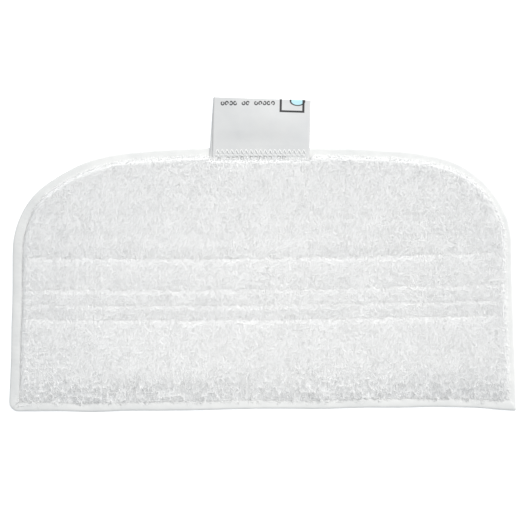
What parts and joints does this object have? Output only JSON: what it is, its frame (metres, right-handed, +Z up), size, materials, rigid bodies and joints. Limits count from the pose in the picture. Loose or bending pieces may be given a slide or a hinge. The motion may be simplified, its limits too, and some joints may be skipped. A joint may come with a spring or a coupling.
{
  "type": "steam mop pad",
  "caption": "D-shaped microfibre steam mop pad with a deep pile face, quilted seams, bound edge, hook-and-loop backing and a folded ribbon pull tab.",
  "frame": {"origin": "on the hook-and-loop face that the pad rests on, at the middle of the pad's width and depth", "axes": "+X along the straight front edge, +Y towards the curved rear edge and the pull tab, +Z up out of the pile"},
  "size_m": [0.3148, 0.1971, 0.0084],
  "materials": {
    "microfibre_pile": "deep soft white microfibre terry pile",
    "wadding": "needled white polyester wadding",
    "brushed_loop": "brushed white loop knit",
    "binding_tape": "smooth white woven tape",
    "sewing_thread": "white polyester sewing thread",
    "satin_ribbon": null
  },
  "bodies": {
    "pad": {"face_cloth": "microfibre_pile", "absorbent_core": "wadding", "loop_backing": "brushed_loop", "edge_binding": "binding_tape", "binding_needle_thread": "sewing_thread", "binding_bobbin_thread": "sewing_thread", "quilt_needle_thread_1": "sewing_thread", "quilt_needle_thread_2": "sewing_thread", "quilt_needle_thread_3": "sewing_thread", "quilt_needle_thread_4": "sewing_thread", "quilt_bobbin_thread_1": "sewing_thread", "quilt_bobbin_thread_2": "sewing_thread", "quilt_bobbin_thread_3": "sewing_thread", "quilt_bobbin_thread_4": "sewing_thread", "pull_tab_root": "satin_ribbon", "tab_needle_thread": "sewing_thread", "tab_bobbin_thread": "sewing_thread"},
    "tab": {"pull_tab": "satin_ribbon"}
  },
  "joints": [
    {"name": "tab_fold", "type": "hinge", "parent": "pad", "child": "tab", "pos_m": [-0.001, 0.0838, 0.004], "axis": [1, 0, 0], "range_deg": [-80, 150]}
  ]
}
